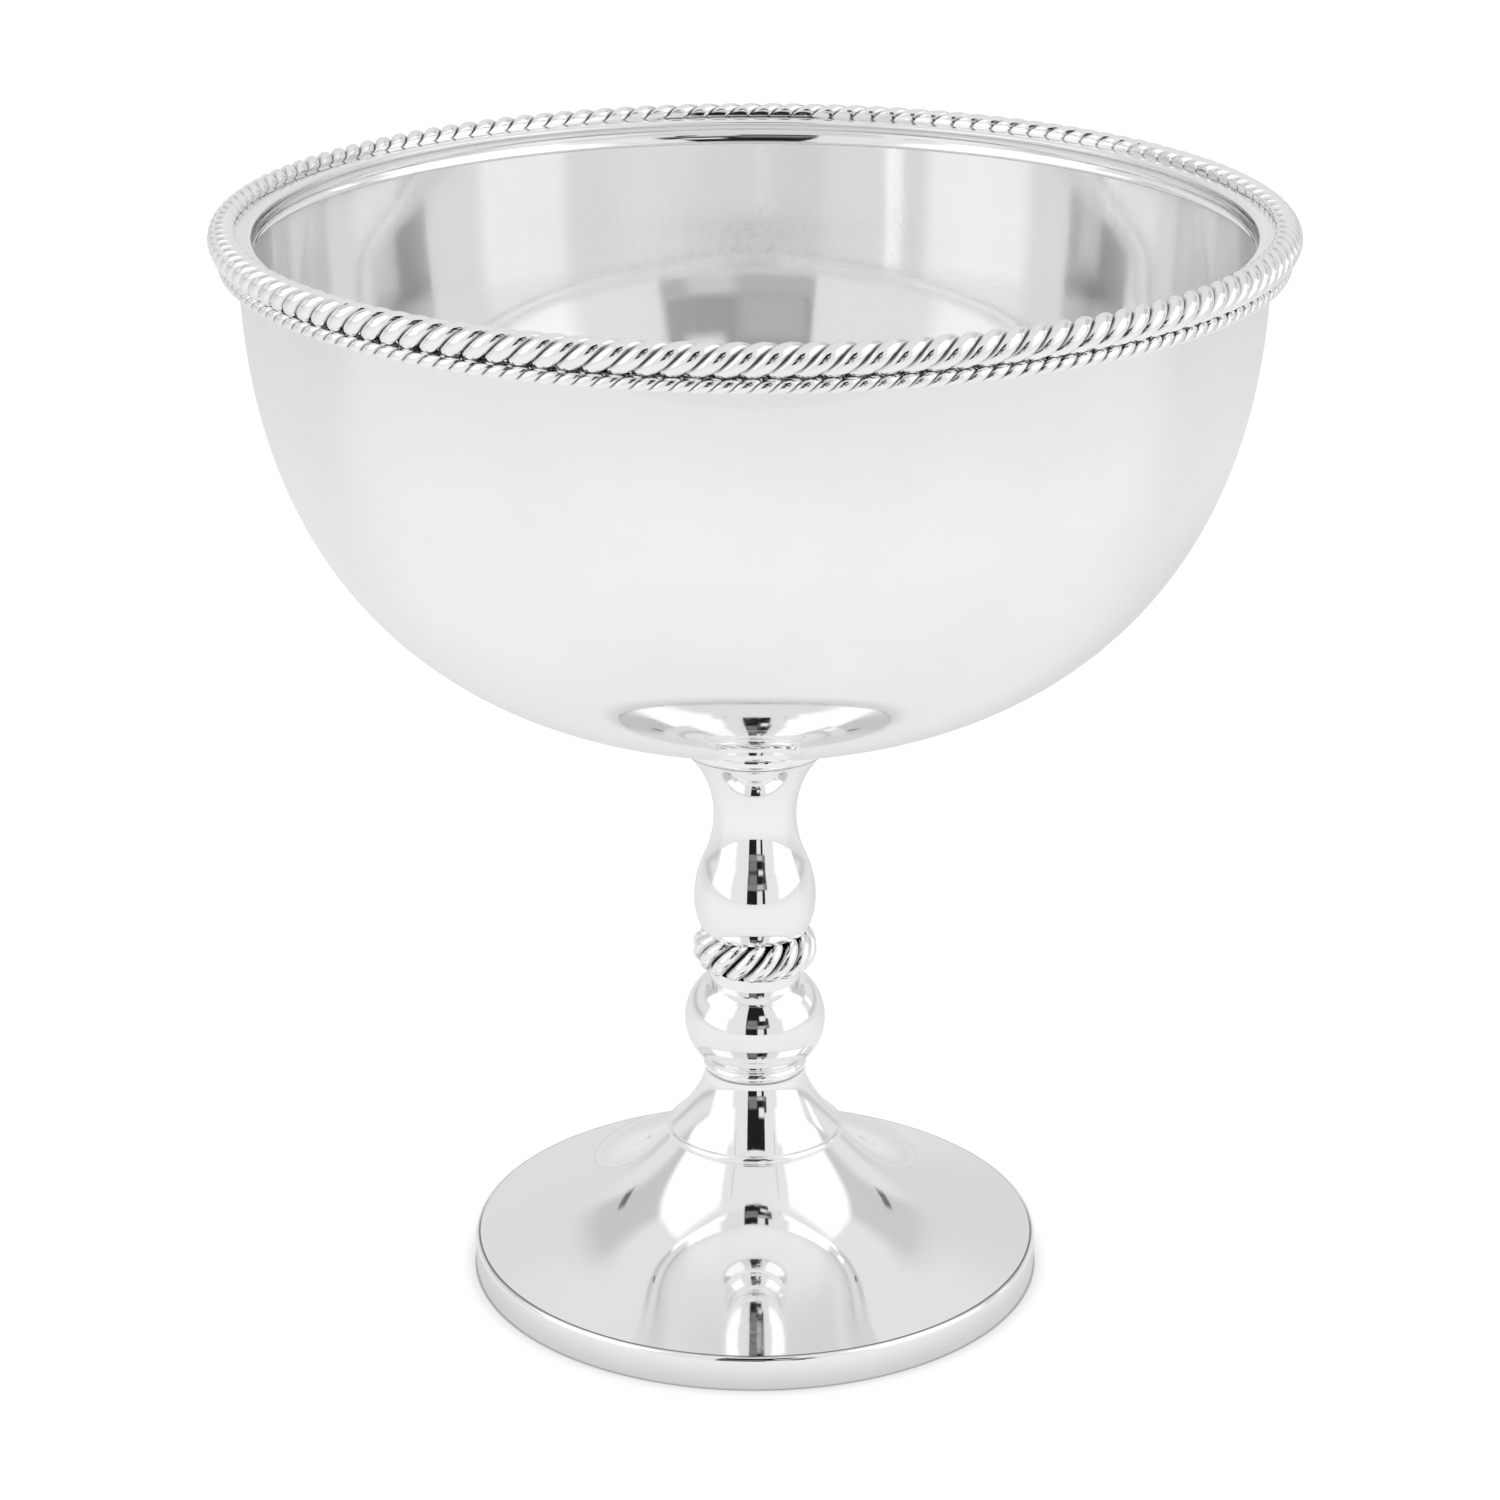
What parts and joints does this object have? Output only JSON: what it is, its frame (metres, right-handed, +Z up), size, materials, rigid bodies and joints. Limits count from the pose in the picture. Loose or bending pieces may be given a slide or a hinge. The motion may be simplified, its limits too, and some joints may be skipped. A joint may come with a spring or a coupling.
{
  "type": "footed compote bowl",
  "caption": "Silver-plated round compote bowl with twisted rope borders at the rim, on a turned baluster stem with a rope collar and a spread round foot.",
  "frame": {"origin": "centre of the foot on the table, at the middle of the bottom of the bounding box", "axes": "+Z up along the bowl's axis; the whole piece is turned round +Z, so +X and +Y are level and interchangeable; the picture looks along +Y and down"},
  "size_m": [0.203, 0.203, 0.2176],
  "materials": {
    "bowl_plate": "mirror-polished silver plate on spun brass sheet",
    "border_plate": "polished silver plate, grey tarnish left in the grooves",
    "stem_plate": "mirror-polished silver plate on cast brass",
    "foot_plate": "mirror-polished silver plate on spun brass sheet",
    "rod_steel": "plain zinc-plated steel"
  },
  "bodies": {
    "root": {"bowl_shell": "bowl_plate", "rim_border": "border_plate", "upper_rope": "border_plate", "lower_rope": "border_plate", "bowl_seat": "stem_plate", "stem_vase": "stem_plate", "rope_collar": "border_plate", "stem_knop": "stem_plate", "bead_ring": "stem_plate", "foot_cone": "stem_plate", "foot_shell": "foot_plate", "foot_band": "foot_plate", "draw_rod": "rod_steel", "rod_washer": "rod_steel", "rod_nut": "rod_steel"}
  },
  "joints": []
}
